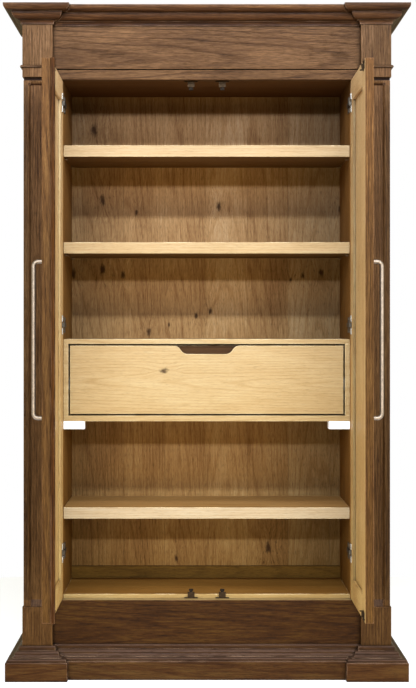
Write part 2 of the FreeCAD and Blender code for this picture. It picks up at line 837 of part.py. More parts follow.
def make_doors():
    """Framed doors, open at a right angle. The left one carries the overlap strip."""
    height = (door_bottom, door_top)
    thick = (door_inside, door_outside)
    radius = s["hinge_edge_radius"]
    stile = s["stile_width"]
    rail = s["rail_width"]
    recess = (s["door_thick"] - s["panel_thick"]) / 2
    tongue = s["panel_tongue"]
    panel_x = (door_inside + recess, door_outside - recess)
    panel_y = (free_edge + stile - tongue, hinge_edge - stile + tongue)
    panel_z = (door_bottom + rail - tongue, door_top - rail + tongue)
    panel = block("door_panel", panel_x, panel_y, panel_z)

    round_y = hinge_edge - radius
    outline = [
        (door_inside, hinge_edge - stile),
        (door_outside, hinge_edge - stile),
        (door_outside, round_y, (door_outside - radius, round_y), 1),
        (door_outside - radius, None, None, 0, hinge_edge.number),
        (door_inside + radius, hinge_edge, (door_inside + radius, round_y), 1),
        (None, round_y, None, 0, door_inside.number),
    ]
    hinge_stile = padded("hinge_stile", "XY_Plane", door_bottom, outline, door_top - door_bottom)
    cup_depth = s["pin_depth"] + s["eye_radius"] + s["stem_clear"] + s["cup_wall"]
    bores = []
    for i, middle in enumerate(hinge_heights):
        centre = (door_inside, hinge_edge - s["cup_edge"], middle)
        bores.append(rod(f"cup_bore_{i + 1}", centre, s["cup_radius"], cup_depth, "x"))
    hinge_stile = cut("bored_stile", hinge_stile, bores + [panel])
    plain = block("free_stile", thick, (free_edge, free_edge + stile), height)
    free_stile = cut("grooved_stile", plain, [panel])

    rail_y = (free_edge + stile, hinge_edge - stile)
    low = block("low_rail", thick, rail_y, (door_bottom, door_bottom + rail))
    high = block("high_rail", thick, rail_y, (door_top - rail, door_top))
    low = cut("grooved_low_rail", low, [panel])
    high = cut("grooved_high_rail", high, [panel])

    node(group("right_door_stiles", [hinge_stile, free_stile]), "right_door_stiles")
    node(group("right_door_rails", [low, high]), "right_door_rails")
    node(panel, "right_door_panel")
    left_stiles = [mirrored("left_hinge_stile", hinge_stile), mirrored("left_free_stile", free_stile)]
    node(group("left_door_stiles", left_stiles), "left_door_stiles")
    left_rails = [mirrored("left_low_rail", low), mirrored("left_high_rail", high)]
    node(group("left_door_rails", left_rails), "left_door_rails")
    node(mirrored("left_panel", panel), "left_door_panel")

    strip_in = door_inside - s["astragal_thick"]
    on_door = free_edge + s["astragal_width"] - s["astragal_reach"]
    fixed = block("strip_fixed", (-door_inside, -strip_in), (free_edge, on_door), height)
    free_x = (s["astragal_quirk"] - door_inside, -strip_in)
    free = block("strip_free", free_x, (free_edge - s["astragal_reach"], free_edge), height)
    node(joined("door_astragal", [fixed, free]), "door_astragal")


def make_handles():
    """Long bar handles, each one bent bar with its ends on the door's face."""
    bar = door_outside + s["handle_reach"]
    turn = s["handle_bend"]
    low = s["handle_bottom"]
    high = s["handle_top"]
    middle = free_edge + s["handle_inset"]
    bend = bar - turn
    route = [
        (door_outside, low),
        (bend, low, (bend, low + turn), 1),
        (None, low + turn, None, 0, bar.number),
        (bar, high - turn, (bend, high - turn), 1),
        (bend, None, None, 0, high.number),
        (door_outside, high),
    ]
    body = doc.addObject("PartDesign::Body", "handle")
    path = new_sketch(body, "handle_route", "XZ_Plane", -middle)
    draw(path, route, closed=False)
    section = new_sketch(body, "handle_section", "YZ_Plane", door_outside)
    circle = Part.Circle(
        FreeCAD.Vector(middle.number, low.number, 0), FreeCAD.Vector(0, 0, 1), s["handle_radius"].number
    )
    section.addGeometry(circle)
    fix_point(section, 0, 3, middle, low)
    row = section.addConstraint(Sketcher.Constraint("Radius", 0, s["handle_radius"].number))
    section.setExpression(f"Constraints[{row}]", s["handle_radius"].text)
    doc.recompute()
    bar_sweep = body.newObject("PartDesign::AdditivePipe", "handle_sweep")
    bar_sweep.Profile = section
    bar_sweep.Spine = (path, [f"Edge{i + 1}" for i in range(len(route) - 1)])
    both_sides("handle", body)


def make_hinges():
    """Concealed hinges: a flanged cup with two lugs and a pin in the door, a hooked arm on the wall."""
    inner_radius = s["cup_radius"] - s["cup_wall"]
    room = s["pin_depth"] + s["eye_radius"] + s["stem_clear"]
    cup_y = hinge_edge - s["cup_edge"]
    eye = s["eye_radius"]
    cups = []
    pins = []
    arms = []
    for i, middle in enumerate(hinge_heights):
        n = i + 1
        shell = rod(f"cup_{n}", (door_inside, cup_y, middle), s["cup_radius"], room + s["cup_wall"], "x")
        flange = block(
            f"flange_{n}",
            (door_inside - s["flange_thick"], door_inside),
            (cup_y - s["flange_half_width"], cup_y + s["flange_half_width"]),
            (middle - s["flange_half_height"], middle + s["flange_half_height"]),
        )
        mouth_start = (door_inside - s["flange_thick"] - PAST, cup_y, middle)
        mouth = rod(f"mouth_{n}", mouth_start, inner_radius, room + s["flange_thick"] + PAST, "x")
        hollow = cut(f"cup_shell_{n}", joined(f"cup_blank_{n}", [shell, flange]), [mouth])
        lug_x = (pin_x - eye, door_inside + room)
        lug_y = (pin_y - eye, pin_y + eye)
        lug_start = s["arm_half_height"] + s["lug_gap"]
        lug_end = s["pin_half_length"] + s["lug_past_pin"]
        lugs = []
        for side, low, high in (
            ("upper", middle + lug_start, middle + lug_end),
            ("lower", middle - lug_end, middle - lug_start),
        ):
            lugs.append(block(f"{side}_lug_{n}", lug_x, lug_y, (low, high)))
        outer = rod(f"cup_limit_{n}", (door_inside, cup_y, middle), s["cup_radius"], room, "x")
        for i_lug, lug in enumerate(lugs):
            held = doc.addObject("Part::Common", f"lug_{n}_{i_lug + 1}")
            held.Base = lug
            held.Tool = outer
            lugs[i_lug] = held
        start = (pin_x, pin_y, middle - s["pin_half_length"])
        pin = rod(f"pin_{n}", start, s["pin_radius"], s["pin_half_length"] * 2)
        bore = rod(f"pin_bore_{n}", start, s["pin_radius"] + s["pin_fit"], s["pin_half_length"] * 2)
        cups.append(cut(f"hinge_cup_{n}", joined(f"cup_with_lugs_{n}", [hollow] + lugs), [bore]))
        pins.append(pin)

        high = (middle - s["arm_half_height"], middle + s["arm_half_height"])
        arm_out = pin_x - s["arm_offset"]
        arm_in = arm_out - s["arm_thick"]
        reach = block(f"arm_reach_{n}", (arm_in, pin_x), (pin_y - eye, pin_y + eye), high)
        knuckle = rod(f"arm_eye_{n}", (pin_x, pin_y, high[0]), eye, s["arm_half_height"] * 2)
        shank_y = (pin_y - eye, wall_front + s["arm_length"])
        shank = block(f"arm_shank_{n}", (arm_in, arm_out), shank_y, high)
        plate = block(
            f"arm_plate_{n}",
            (s["opening_half"] - s["plate_thick"], s["opening_half"]),
            (wall_front + s["plate_start"], wall_front + s["arm_length"] + s["plate_past_arm"]),
            (middle - s["plate_half_height"], middle + s["plate_half_height"]),
        )
        solid = joined(f"arm_blank_{n}", [reach, knuckle, shank, plate])
        hole_radius = s["pin_radius"] + s["eye_fit"]
        hole = rod(f"eye_bore_{n}", (pin_x, pin_y, high[0]), hole_radius, s["arm_half_height"] * 2)
        arms.append(cut(f"hinge_arm_{n}", solid, [hole]))
    node(group("right_hinges", cups + pins), "right_hinges")
    others = [mirrored(f"left_hinge_piece_{i + 1}", piece) for i, piece in enumerate(cups + pins)]
    node(group("left_hinges", others), "left_hinges")
    others = [mirrored(f"left_arm_{i + 1}", piece) for i, piece in enumerate(arms)]
    node(group("hinge_arms", arms + others), "hinge_arms")


def catch_parts(level, seat, up):
    """One catch: case on its plate, sprung roller on a stem, and the strike on the door."""

    def span(a, b):
        low, high = (seat + a, seat + b) if up > 0 else (seat - b, seat - a)
        return (low, high)

    centre = s["catch_centre"]
    depth = s["catch_depth"]
    case_y = (inner_front - depth, inner_front)
    middle_y = inner_front - depth / 2
    base_thick = s["catch_plate_thick"]
    clear = s["stem_clear"]
    half = s["catch_half"]
    base_x = (centre - s["catch_plate_half"], centre + s["catch_plate_half"])
    base = block(f"{level}_catch_plate", base_x, case_y, span(0, base_thick))
    shell_z = span(0, s["catch_height"])
    shell = block(f"{level}_catch_shell", (centre - half, centre + half), case_y, shell_z)
    stem_top = s["catch_height"]
    stem_bottom = stem_top - s["stem_height"]
    stem_half = s["stem_half"]
    stem_y = s["stem_depth"] / 2
    well_x = (centre - stem_half - clear, centre + stem_half + clear)
    well_y = (middle_y - stem_y - clear, middle_y + stem_y + clear)
    well_z = span(stem_bottom - s["roller_travel"] - clear, stem_top + PAST)
    well = block(f"{level}_catch_well", well_x, well_y, well_z)
    case = cut(f"{level}_catch_case", joined(f"{level}_catch_blank", [base, shell]), [well])

    stem_x = (centre - stem_half, centre + stem_half)
    lift = s["roller_travel"] + clear
    stem_z = span(stem_bottom, stem_top + lift + s["roller_radius"])
    stem = block(f"{level}_stem", stem_x, (middle_y - stem_y, middle_y + stem_y), stem_z)
    axle = stem_top + lift + s["roller_radius"]
    axle_z = seat + axle if up > 0 else seat - axle
    roller_start = (centre - s["roller_half"], middle_y, axle_z)
    roller = rod(f"{level}_wheel", roller_start, s["roller_radius"], s["roller_half"] * 2, "x")
    plunger = joined(f"{level}_roller", [stem, roller])

    tip = axle + s["roller_radius"]
    strike_y = free_edge + centre - s["meeting_gap"] / 2
    wide = (strike_y - s["strike_half"], strike_y + s["strike_half"])
    face = door_inside
    lip_z = span(tip + clear, tip + clear + s["lip_thick"])
    body_z = span(tip + clear + s["lip_thick"] - s["strike_height"], tip + clear + s["lip_thick"])
    foot = block(f"{level}_strike_foot", (face - s["strike_reach"], face), wide, body_z)
    lip = block(f"{level}_strike_lip", (face - s["lip_reach"], face), wide, lip_z)
    plate_y = (strike_y - s["strike_plate_half"], strike_y + s["strike_plate_half"])
    plate_x = (face - s["strike_plate_thick"], face)
    plate_z = span(s["door_end_gap"], s["door_end_gap"] + s["strike_plate_height"])
    plate = block(f"{level}_strike_plate", plate_x, plate_y, plate_z)
    strike = joined(f"{level}_strike", [foot, lip, plate])
    return case, plunger, strike


def make_catches():
    low = catch_parts("low", s["apron_top"], 1)
    high = catch_parts("high", header_bottom, -1)
    cases = [low[0], high[0]]
    cases += [mirrored("low_case_left", low[0]), mirrored("high_case_left", high[0])]
    node(group("catch_cases", cases), "catch_cases")
    for name, plunger in (("bottom", low[1]), ("top", high[1])):
        node(plunger, f"{name}_right_roller")
        node(mirrored(f"{name}_left_roller", plunger), f"{name}_left_roller")
    node(group("right_strikes", [low[2], high[2]]), "right_strikes")
    left = [mirrored("low_strike_left", low[2]), mirrored("high_strike_left", high[2])]
    node(group("left_strikes", left), "left_strikes")


def check():
    """Every object recomputed, and every piece a whole and valid shape."""
    doc.recompute()
    for thing in doc.Objects:
        if {"Invalid", "Error"} & set(thing.State):
            raise RuntimeError(f"{thing.Label} failed: {thing.State}")
    for thing in nodes:
        shape = thing.Shape
        if shape.isNull() or not shape.isValid() or not shape.Solids:
            raise RuntimeError(f"{thing.Label} has no valid shape")


make_sides()
make_boards()
make_back()
make_posts()
make_front_frame()
mouldings("plinth", plinth_profile)
mouldings("base_moulding", base_profile)
mouldings("cornice", cornice_profile)
make_shelves()
make_case()
side_plane, runner_start = make_drawer()
make_runners(side_plane, runner_start)
make_doors()
make_handles()
make_hinges()
make_catches()
check()

os.makedirs("parts", exist_ok=True)
for thing in nodes:
    thing.Shape.exportStep(f"parts/{thing.Label}.step")
print(len(nodes), "nodes written")
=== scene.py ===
import math

import bmesh
import bpy
from mathutils import Matrix, Vector


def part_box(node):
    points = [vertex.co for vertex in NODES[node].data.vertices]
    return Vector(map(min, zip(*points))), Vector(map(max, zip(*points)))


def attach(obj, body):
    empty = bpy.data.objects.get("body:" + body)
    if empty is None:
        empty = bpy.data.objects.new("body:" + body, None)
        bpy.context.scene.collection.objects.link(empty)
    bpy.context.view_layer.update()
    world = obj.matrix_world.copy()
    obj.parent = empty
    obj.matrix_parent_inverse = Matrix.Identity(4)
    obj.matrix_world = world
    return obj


# Looks of a two-door oak armoire: stained oak outside, pale oak and knotty boards inside.
# Metres, in the same frame as the solids: X to the right, Y to the back, Z up.

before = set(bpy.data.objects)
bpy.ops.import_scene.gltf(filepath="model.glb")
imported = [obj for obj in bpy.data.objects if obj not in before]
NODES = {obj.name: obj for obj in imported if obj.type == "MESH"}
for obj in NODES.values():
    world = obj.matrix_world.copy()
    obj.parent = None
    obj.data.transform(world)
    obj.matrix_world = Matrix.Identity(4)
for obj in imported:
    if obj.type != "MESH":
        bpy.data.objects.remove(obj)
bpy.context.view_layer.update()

# The photograph's frame, in pixels, and the camera that fits it
PHOTO_WIDTH = 416
PHOTO_HEIGHT = 688
FOCAL_PIXELS = 1741.6
CENTRE_X = 194.6
CENTRE_Y = 329
CAMERA_PLACE = (-0.0387, -5.5358, 1.108)
SENSOR_WIDTH = 36.0

# Lights: rows of long ceiling lamps in front, a soft panel at each side, light thrown back by the
# floor, and an even pale room. A lamp is (place, target, power in watts, length, width).
LAMPS = {
    "far_lamp": ((0.8, -9.2, 3.23), (0.8, 0.0, 1.6), 860, 10.0, 0.3),
    "middle_lamp": ((0.35, -3.84, 3.385), (0.35, 0.0, 1.5), 290, 4.4, 0.16),
    "near_lamp": ((0.15, -1.8, 3.2), (0.15, 0.0, 1.5), 45, 2.4, 0.16),
    "floor_bounce": ((0.3, -2.8, 0.2), (0.3, 0.2, 1.4), 36, 3.0, 0.5),
    "ceiling_panel": ((0.0, -1.9, 3.4), (0.0, -1.9, 0.0), 30, 2.4, 2.4),
}
LAMP_COLOURS = {
    "far_lamp": (0.8, 0.87, 1.0),
    "middle_lamp": (0.78, 0.89, 1.0),
    "near_lamp": (0.75, 0.8, 1.0),
    "floor_bounce": (1.0, 0.8, 0.42),
}
SIDE_PANEL_PLACE = (3.2, -1.7, 1.5)
SIDE_PANEL_SIZE = 2.2
LEFT_PANEL_POWER = 24
RIGHT_PANEL_POWER = 40
ROOM_LIGHT = 0.4
ROOM_COLOUR = (1.0, 0.9, 0.5, 1.0)
WHITE = (1.0, 1.0, 1.0, 1.0)
BACKGROUND = 1.0
SIDE_PANEL_TARGET = (0.0, -0.2, 1.1)
FLOOR_RADIUS = 2.4
FLOOR_GLOW = 0.6

# Height of the whole piece, over which the painted light of the height tints runs
TOTAL_HEIGHT = 2.132

# Screw heads: their size, and the dome as (share of the radius, share of the height)
SCREW_RADIUS = 0.0032
SCREW_HEIGHT = 0.0009
SCREW_SIDES = 24
SCREW_DOME = ((1.0, 0.0), (1.0, 0.3), (0.92, 0.65), (0.76, 0.88), (0.58, 1.0))
# The cross-shaped socket: shares of the radius, and its floor as a share of the height
SOCKET_LONG = 0.46
SOCKET_THIN = 0.12
SOCKET_FLOOR = 0.3
# Screw heads on a hinge flange stay this low, because a closed door leaves 0.5 mm in front of them
FLAT_HEAD = 0.0002

# Middle heights of the hinges
HINGE_HEIGHTS = (1.828, 1.121, 0.395)
# Faces that carry screws, as distances from the middle of the piece, and their middles in y
FLANGE_X = 0.4575
FLANGE_Y = 0.01125
WALL_PLATE_X = 0.4565
WALL_PLATE_Y = 0.0813
STRIKE_X = 0.4588
CATCH_XS = (0.0335, 0.0665)
# How far the screws lie from the middle of a flange, a wall plate or a strike
FLANGE_STEP = 0.024
WALL_PLATE_STEP = 0.018
STRIKE_STEP = 0.0205
# How far in from the ends of the strikes and the catches their screws lie
STRIKE_INSET = 0.0135
CATCH_INSET = 0.003

# Where a door's panel meets the stile on the hinge side
PANEL_EDGE = -0.05775
# A door's pale inner finish: how deep it goes, and how far it stays from the door's edges
DOOR_SKIN = 0.012
SKIN_MARGIN = 0.004
# How far a finish reaches past the face it belongs to
REACH = 0.001

# Sockets of a Mix node, which is read by number because its colours and vectors share their names
COLOUR_A, COLOUR_B, COLOUR_OUT = 6, 7, 2
VECTOR_A, VECTOR_B, VECTOR_OUT = 4, 5, 1


def linear(red, green, blue):
    """A colour as the eye reads it, 0 to 255, turned into the numbers that light needs."""
    parts = []
    for part in (red, green, blue):
        part = part / 255
        parts.append(part / 12.92 if part <= 0.04045 else ((part + 0.055) / 1.055) ** 2.4)
    return (*parts, 1.0)


class Nodes:
    """One material's node tree, with short ways to add to it."""

    def __init__(self, name):
        self.material = bpy.data.materials.new(name)
        self.material.use_nodes = True
        self.tree = self.material.node_tree
        self.tree.nodes.clear()

    def feed(self, socket, value):
        if isinstance(value, bpy.types.NodeSocket):
            self.tree.links.new(value, socket)
        else:
            socket.default_value = value

    def add(self, kind, inputs=None, **settings):
        made = self.tree.nodes.new(f"ShaderNode{kind}")
        for name, value in settings.items():
            setattr(made, name, value)
        for key, value in (inputs or {}).items():
            self.feed(made.inputs[key], value)
        return made

    def math(self, operation, a, b=0.0, clamp=False):
        made = self.add("Math", {0: a, 1: b}, operation=operation, use_clamp=clamp)
        return made.outputs[0]

    def length(self, a, b):
        """How far a point at a, b lies from the origin."""
        squares = [self.math("MULTIPLY", part, part) for part in (a, b)]
        return self.math("SQRT", self.math("ADD", *squares))

    def around(self, value, centre, scale):
        """How far a value lies from its centre, scaled."""
        return self.math("MULTIPLY", self.math("SUBTRACT", value, centre), scale)

    def spread(self, value, low, high, to_low=0.0, to_high=1.0):
        """Maps a stretch of values to another, smoothly and held at its ends."""
        ends = {0: value, 1: low, 2: high, 3: to_low, 4: to_high}
        return self.add("MapRange", ends, interpolation_type="SMOOTHSTEP").outputs[0]

    def mix(self, factor, a, b, blend="MIX"):
        inputs = {0: factor, COLOUR_A: a, COLOUR_B: b}
        made = self.add("Mix", inputs, data_type="RGBA", blend_type=blend)
        return made.outputs[COLOUR_OUT]

    def split(self, vector):
        return self.add("SeparateXYZ", {0: vector}).outputs

    def scaled(self, vector, scale):
        made = self.add("VectorMath", {0: vector, 1: scale}, operation="MULTIPLY")
        return made.outputs[0]

    def dot(self, a, b):
        made = self.add("VectorMath", {0: a, 1: b}, operation="DOT_PRODUCT")
        return made.outputs["Value"]

    def noise(self, vector, scale, detail=2.0, roughness=0.5):
        """Noise between about 0.25 and 0.75, with its own scale along each axis."""
        inputs = {"Scale": 1.0, "Detail": detail, "Roughness": roughness}
        inputs["Vector"] = self.scaled(vector, scale)
        return self.add("TexNoise", inputs).outputs

    def finish(self, shader):
        output = self.add("OutputMaterial")
        self.tree.links.new(shader.outputs[0], output.inputs["Surface"])
        return self.material


# For each direction of the grain: the axes that run along it, across it and into the board
GRAIN_ORDER = {"x": (0, 2, 1), "y": (1, 2, 0), "z": (2, 0, 1)}


def grain_space(nodes, run):
    """Place in the piece, with the first coordinate along the grain.
    A mitred piece runs along y where it faces sideways and along x elsewhere."""
    texture = nodes.add("TexCoord").outputs
    place = nodes.split(texture["Object"])

    def turned(axis):
        order = GRAIN_ORDER[axis]
        return nodes.add("CombineXYZ", {i: place[order[i]] for i in range(3)}).outputs[0]

    if run != "mitred":
        return turned(run)
    normal = nodes.split(texture["Normal"])
    sideways = nodes.math("ABSOLUTE", normal[0])
    frontal = nodes.math("ABSOLUTE", normal[1])
    factor = nodes.math("GREATER_THAN", sideways, frontal)
    inputs = {0: factor, VECTOR_A: turned("x"), VECTOR_B: turned("y")}
    return nodes.add("Mix", inputs, data_type="VECTOR").outputs[VECTOR_OUT]


def rings(nodes, grain, pith, ring_width, lean, wobble, board_width=None):
    """Growth rings as a board's faces cut them: rounds about a pith line that leans along the
    grain. Boards side by side each get a pith of their own.
    Gives the rings, 0 to 1, and a number per board."""
    along, across, depth = nodes.split(grain)
    wander = nodes.split(nodes.noise(grain, (0.8, 3.0, 3.0), 2.0)["Color"])
    board = 0.0
    if board_width:
        index = nodes.math("FLOOR", nodes.math("DIVIDE", across, board_width))
        chance = nodes.add("TexWhiteNoise", {"W": index}, noise_dimensions="1D").outputs
        shares = nodes.split(chance["Color"])
        board = chance["Value"]
        middle = nodes.math("MULTIPLY", nodes.math("ADD", index, shares[0]), board_width)
        across = nodes.math("SUBTRACT", across, middle)
        depth = nodes.math("ADD", depth, nodes.math("MULTIPLY", shares[1], 0.12))
        along = nodes.math("ADD", along, nodes.math("MULTIPLY", shares[2], 3.0))
    a = nodes.math("SUBTRACT", across, pith[0])
    a = nodes.math("ADD", a, nodes.math("MULTIPLY", wander[0], wobble))
    b = nodes.math("SUBTRACT", depth, pith[1])
    b = nodes.math("ADD", b, nodes.math("MULTIPLY", along, lean))
    b = nodes.math("ADD", b, nodes.math("MULTIPLY", wander[1], wobble))
    phase = nodes.math("DIVIDE", nodes.length(a, b), ring_width)
    uneven = nodes.noise(grain, (3.0, 30.0, 30.0), 3.0)[0]
    phase = nodes.math("ADD", phase, nodes.math("MULTIPLY", uneven, 1.2))
    saw = nodes.math("FRACT", phase)
    rise = nodes.spread(saw, 0.0, 0.3)
    fall = nodes.spread(saw, 0.86, 1.0, 1.0, 0.0)
    return nodes.math("MULTIPLY", rise, fall), board


def knots(nodes, grain, places):
    """Knots at chosen places: (along, across, radius).
    Gives their darkness and how they bend the grain."""
    along, across = nodes.split(grain)[:2]
    rough_edge = nodes.noise(grain, (50.0, 110.0, 110.0), 4.0, 0.65)[0]
    ragged = nodes.around(rough_edge, 0.5, 2.4)
    darkness = 0.0
    bend = 0.0
    for knot_along, knot_across, radius in places:
        a = nodes.math("DIVIDE", nodes.math("SUBTRACT", along, knot_along), radius * 1.9)
        b = nodes.math("DIVIDE", nodes.math("SUBTRACT", across, knot_across), radius)
        away = nodes.math("ADD", nodes.length(a, b), ragged)
        darkness = nodes.math("MAXIMUM", darkness, nodes.spread(away, 0.3, 1.5, 1.0, 0.0))
        halo = nodes.spread(away, 1.0, 6.0, radius * 1.4, 0.0)
        side = nodes.math("SIGN", b)
        bend = nodes.math("ADD", bend, nodes.math("MULTIPLY", halo, side))
    return darkness, bend


def oak(name, colours, run, pith, ring_width=0.008, lean=0.03, wobble=0.03, ring_depth=0.2,
        streak_depth=0.6, streak_scale=(9.0, 180.0, 180.0), blotch_depth=0.45, fibre_depth=0.5,
        pore_depth=0.35, tints=None, side_shade=None, lift=None, bump=0.25, roughness=0.55,
        specular=0.05, board_width=None, board_depth=0.0, knot_places=(), edge_wear_and_highlight=None, corner_shade=0.0,
        other_sides=()):
    """Oak with growth rings, streaks, open pores and, where asked, knots, pale edges that are part
    wear and part painted highlight, and painted shade in corners. The grain runs along x, y or z,
    or round the corner of a mitred piece. The pith is (across, into the board). Colours run from
    the deepest to the palest.
    other_sides are second finishes and patches of painted light and shade, each (direction,
    colours) for the faces that look that way, and, with two corners after them, everywhere inside
    that box. A direction of nought names no faces. tints are factors for low and for high wood,
    painted light that is paler and cooler higher up. side_shade gives wood a factor toward the
    left, the right and the top, as painted light and shade. lift, (low z, high z, low factor,
    high factor), paints light on the first finish only, making it paler with height."""
    nodes = Nodes(name)
    grain = grain_space(nodes, run)
    knot_dark = 0.0
    if knot_places:
        knot_dark, bend = knots(nodes, grain, knot_places)
        shift = nodes.add("CombineXYZ", {1: bend}).outputs[0]
        grain = nodes.add("VectorMath", {0: grain, 1: shift}, operation="ADD").outputs[0]

    ring, board = rings(nodes, grain, pith, ring_width, lean, wobble, board_width)
    streak = nodes.noise(grain, streak_scale, 4.0, 0.6)[0]
    fibre = nodes.noise(grain, (34.0, 560.0, 560.0), 3.0, 0.6)[0]
    blotch = nodes.noise(grain, (2.6, 11.0, 11.0), 4.0)[0]
    pore_noise = nodes.noise(grain, (60.0, 700.0, 700.0), 2.0, 0.5)[0]
    pore = nodes.spread(pore_noise, 0.54, 0.66)

    tone = nodes.around(ring, 0.75, ring_depth)
    for part, depth in ((streak, streak_depth), (blotch, blotch_depth), (fibre, fibre_depth)):
        tone = nodes.math("ADD", tone, nodes.around(part, 0.5, depth * 2))
    if board_width:
        tone = nodes.math("ADD", tone, nodes.around(board, 0.5, board_depth))
    tone = nodes.math("ADD", tone, 0.5, clamp=True)

    def toned(stops):
        ramp = nodes.add("ValToRGB", {0: tone})
        ramp.color_ramp.elements[0].color = linear(*stops[0])
        ramp.color_ramp.elements[1].color = linear(*stops[-1])
        middle = ramp.color_ramp.elements.new(0.5)
        middle.color = linear(*stops[1])
        return ramp.outputs[0]

    colour = toned(colours)
    texture = nodes.add("TexCoord").outputs
    place = nodes.split(texture["Object"])
    # Painted light on the first finish: paler with height
    if lift:
        colour = nodes.mix(1.0, colour, nodes.spread(place[2], *lift), "MULTIPLY")
    for direction, second, *window in other_sides:
        share = nodes.spread(nodes.dot(texture["Normal"], direction), 0.35, 0.65)
        if window:
            inside = 1.0
            for i, (low, high) in enumerate(zip(*window)):
                above = nodes.math("GREATER_THAN", place[i], low)
                below = nodes.math("LESS_THAN", place[i], high)
                inside = nodes.math("MULTIPLY", inside, nodes.math("MULTIPLY", above, below))
            share = nodes.math("MAXIMUM", share, inside)
        colour = nodes.mix(share, colour, toned(second))
    # Painted light: higher wood paler and cooler, lower wood darker and more golden
    height_share = nodes.add("MapRange", {0: place[2], 1: 0.0, 2: TOTAL_HEIGHT}).outputs[0]
    colour = nodes.mix(1.0, colour, nodes.mix(height_share, *(tints or HEIGHT_LIGHT_TINTS)), "MULTIPLY")
    # Painted light and shade toward the left end, the right end and the top
    if side_shade:
        toward_left = nodes.spread(place[0], *SHADE_LEFT, side_shade[0], 1.0)
        toward_right = nodes.spread(place[0], *SHADE_RIGHT, 1.0, side_shade[1])
        toward_top = nodes.spread(place[2], *SHADE_TOP, 1.0, side_shade[2])
        shade = nodes.math("MULTIPLY", toward_left, toward_right)
        shade = nodes.math("MULTIPLY", shade, toward_top)
        colour = nodes.mix(1.0, colour, shade, "MULTIPLY")
    shade = nodes.math("SUBTRACT", 1.0, nodes.math("MULTIPLY", pore, pore_depth))
    colour = nodes.mix(1.0, colour, shade, "MULTIPLY")
    if knot_places:
        colour = nodes.mix(nodes.math("MULTIPLY", knot_dark, 0.9), colour, linear(*KNOT))
    rough = nodes.math("ADD", roughness, nodes.around(streak, 0.5, 0.25))
    rounded = None
    # Pale band along the edges: part wear, part painted highlight
    if edge_wear_and_highlight:
        rounded = nodes.add("Bevel", {"Radius": EDGE_BAND_RADIUS}, samples=4).outputs[0]
        flat = nodes.add("NewGeometry").outputs["Normal"]
        patchy = nodes.noise(grain, (14.0, 40.0, 40.0), 3.0)[0]
        edge = nodes.spread(nodes.dot(rounded, flat), 0.98, 0.82)
        edge = nodes.math("MULTIPLY", edge, nodes.spread(patchy, 0.38, 0.62, 0.1, 0.9))
        colour = nodes.mix(edge, colour, linear(*edge_wear_and_highlight))
    # Painted shade: darker where nearby surfaces close a point in, as in corners, grooves and
    # under ledges
    if corner_shade:
        corner = nodes.add("AmbientOcclusion", {"Distance": CORNER_SHADE_REACH}, samples=4).outputs["AO"]
        dark = nodes.spread(corner, 0.25, 0.85, 1.0 - corner_shade, 1.0)
        colour = nodes.mix(1.0, colour, dark, "MULTIPLY")

    relief = nodes.math("MULTIPLY", ring, 0.35)
    relief = nodes.math("ADD", relief, nodes.math("MULTIPLY", fibre, 0.7))
    relief = nodes.math("SUBTRACT", relief, nodes.math("MULTIPLY", pore, 0.6))
    relief = nodes.math("SUBTRACT", relief, nodes.math("MULTIPLY", knot_dark, 0.5))
    surface = {"Height": relief, "Strength": bump, "Distance": 0.001}
    if rounded:
        surface["Normal"] = rounded
    normal = nodes.add("Bump", surface).outputs[0]
    shader = nodes.add("BsdfPrincipled", {
        "Base Color": colour,
        "Roughness": rough,
        "Normal": normal,
        "Specular IOR Level": specular,
    })
    return nodes.finish(shader)


# Colours of each finish and of each patch of painted light and shade, from the deepest tone to the
# palest
STAINED = [(32, 16, 3), (66, 43, 20), (96, 68, 37)]
STAINED_UPRIGHT = [(36, 17, 4), (74, 48, 22), (104, 74, 42)]
# A darker copy of the stained wood for the low parts: painted shade
STAINED_LOW_SHADE = [(24, 9, 1), (50, 27, 6), (71, 47, 16)]
CORNICE = [(28, 11, 1), (58, 33, 12), (84, 55, 26)]
# Painted shade on the moulding under the front cornice's slab
BED_MOULD_SHADE = [(18, 5, 0), (41, 20, 5), (61, 36, 13)]
# Painted highlight on the upper rim of the front cornice's slab
SLAB_RIM_HIGHLIGHT = [(35, 16, 3), (72, 44, 18), (104, 74, 37)]
OUTER_STILE = [(30, 14, 3), (65, 42, 18), (92, 67, 37)]
DOOR_EDGE = [(33, 15, 2), (68, 43, 16), (95, 67, 32)]
# Painted shade in the posts' neck groove and under the head of their sunk fields
GROOVE_SHADE = [(16, 4, 1), (39, 19, 4), (57, 33, 12)]
STAINED_BLOCK = [(34, 17, 4), (72, 48, 22), (101, 74, 44)]
PLINTH = [(25, 10, 4), (55, 32, 13), (77, 55, 28)]
# Painted reflection: a greyish sheen on faces that look up, as of a pale ceiling in the lacquer
UPWARD_SHEEN = [(52, 36, 28), (67, 48, 40), (84, 65, 55)]
NOTCH = [(38, 22, 10), (58, 37, 18), (76, 52, 28)]
STRIP = [(24, 7, 1), (52, 26, 2), (71, 40, 4)]
PALE = [(132, 104, 63), (152, 127, 85), (166, 146, 105)]
PALE_LOW = [(137, 113, 82), (157, 138, 110), (172, 159, 134)]
PALE_DOOR = [(162, 122, 72), (186, 151, 96), (201, 173, 119)]
# The step where a door's panel meets its hinge stile: painted lit on the left door, painted in
# shade on the right
PANEL_STEP_LIT_AND_SHADED = {
    "left": [(146, 114, 68), (168, 141, 91), (182, 162, 113)],
    "right": [(113, 88, 52), (130, 109, 70), (140, 125, 87)],
}
KNOTTY = [(108, 71, 35), (153, 116, 69), (181, 149, 101)]
CLEAT = [(66, 45, 15), (98, 71, 28), (119, 89, 40)]
DRAWER_BOX = [(156, 123, 83), (179, 150, 107), (195, 170, 132)]
# Ceiling board over the top bay, darkened as painted shade under the header
CEILING_SHADE = [(49, 25, 5), (72, 44, 16), (87, 59, 27)]
SHELF_TOP = [(107, 69, 31), (150, 112, 64), (179, 143, 92)]
